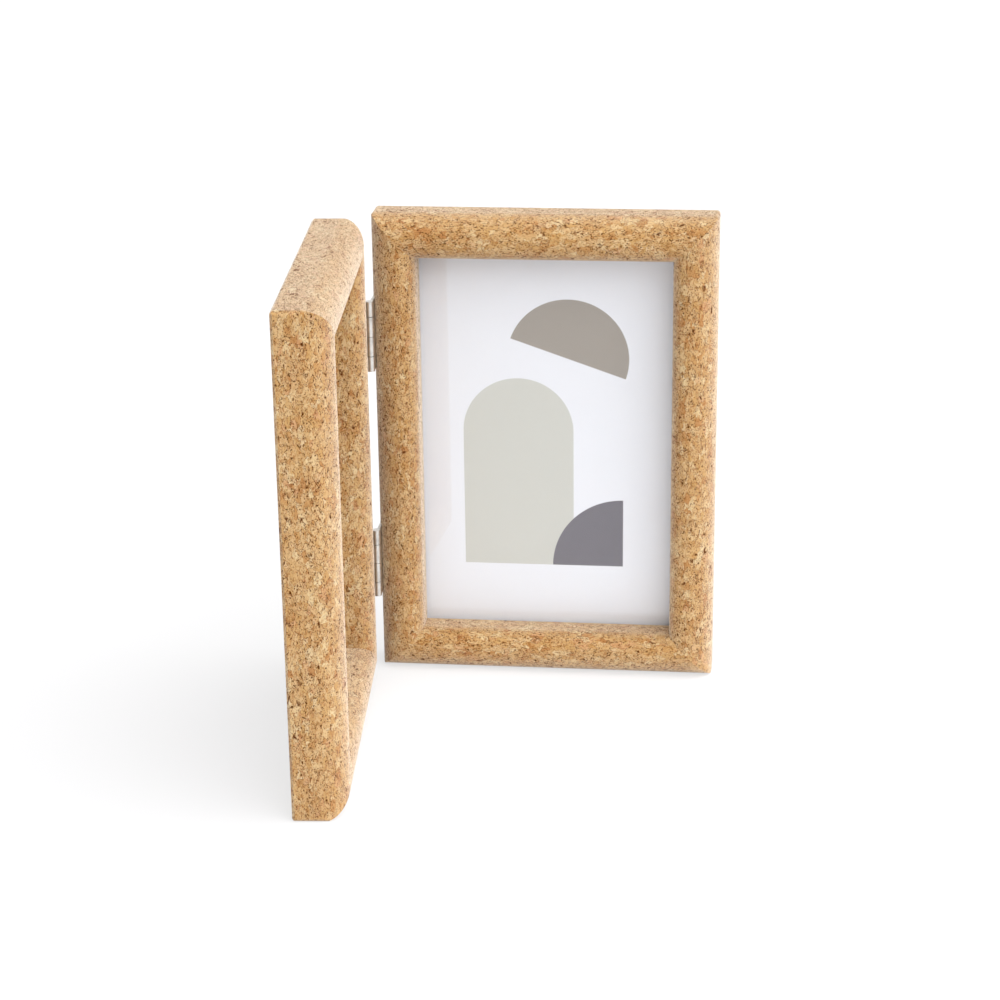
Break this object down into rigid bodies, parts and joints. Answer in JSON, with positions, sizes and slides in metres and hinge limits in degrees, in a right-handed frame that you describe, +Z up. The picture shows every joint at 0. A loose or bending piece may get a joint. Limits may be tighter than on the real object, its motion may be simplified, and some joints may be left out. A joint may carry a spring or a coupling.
{
  "type": "double photo frame",
  "caption": "Book-style double photo frame: mitred cork frames with rounded fronts, glazed windows and turn-button backs, joined by small butt hinges.",
  "frame": {"origin": "middle of the flat strip that the right-hand frame stands on", "axes": "+Z up, +X along the right-hand frame away from the hinges, +Y from its front to its back"},
  "size_m": [0.1479, 0.1511, 0.18],
  "materials": {
    "cork": "agglomerated cork, matt, granules of tan, cream and brown",
    "nickel": "nickel-plated steel, satin",
    "nail_steel": "bright steel strip",
    "pane": "clear, polished",
    "print_paper": "matt print on white paper",
    "hardboard": "brown hardboard, smooth back"
  },
  "bodies": {
    "right_frame": {"right_top_rail": "cork", "right_bottom_rail": "cork", "right_hinge_stile": "cork", "right_outer_stile": "cork", "right_corner_nails": "nail_steel", "right_glass": "pane", "right_print": "print_paper", "right_backing_board": "hardboard", "right_button_screws": "nickel", "upper_hinge_right_leaf": "nickel", "upper_hinge_pin": "nickel", "upper_hinge_right_screws": "nickel", "lower_hinge_right_leaf": "nickel", "lower_hinge_pin": "nickel", "lower_hinge_right_screws": "nickel"},
    "left_frame": {"left_top_rail": "cork", "left_bottom_rail": "cork", "left_hinge_stile": "cork", "left_outer_stile": "cork", "left_corner_nails": "nail_steel", "left_glass": "pane", "left_print": "print_paper", "left_backing_board": "hardboard", "left_button_screws": "nickel", "upper_hinge_left_leaf": "nickel", "upper_hinge_left_screws": "nickel", "lower_hinge_left_leaf": "nickel", "lower_hinge_left_screws": "nickel"},
    "right_top_button": {"right_top_button": "nickel"},
    "right_bottom_button": {"right_bottom_button": "nickel"},
    "left_top_button": {"left_top_button": "nickel"},
    "left_bottom_button": {"left_bottom_button": "nickel"}
  },
  "joints": [
    {"name": "fold", "type": "hinge", "parent": "right_frame", "child": "left_frame", "pos_m": [-0.06425, -0.0143, 0.09], "axis": [0, 0, 1], "range_deg": [-94.3, 85.7]},
    {"name": "right_top_button_turn", "type": "hinge", "parent": "right_frame", "child": "right_top_button", "pos_m": [0, 0.00595, 0.17225], "axis": [0, 1, 0], "range_deg": [-90, 90]},
    {"name": "right_bottom_button_turn", "type": "hinge", "parent": "right_frame", "child": "right_bottom_button", "pos_m": [0, 0.00595, 0.00775], "axis": [0, 1, 0], "range_deg": [-90, 90]},
    {"name": "left_top_button_turn", "type": "hinge", "parent": "left_frame", "child": "left_top_button", "pos_m": [-0.07963, -0.07989, 0.17225], "axis": [-0.9972, -0.075, 0], "range_deg": [-90, 90]},
    {"name": "left_bottom_button_turn", "type": "hinge", "parent": "left_frame", "child": "left_bottom_button", "pos_m": [-0.07963, -0.07989, 0.00775], "axis": [-0.9972, -0.075, 0], "range_deg": [-90, 90]}
  ]
}
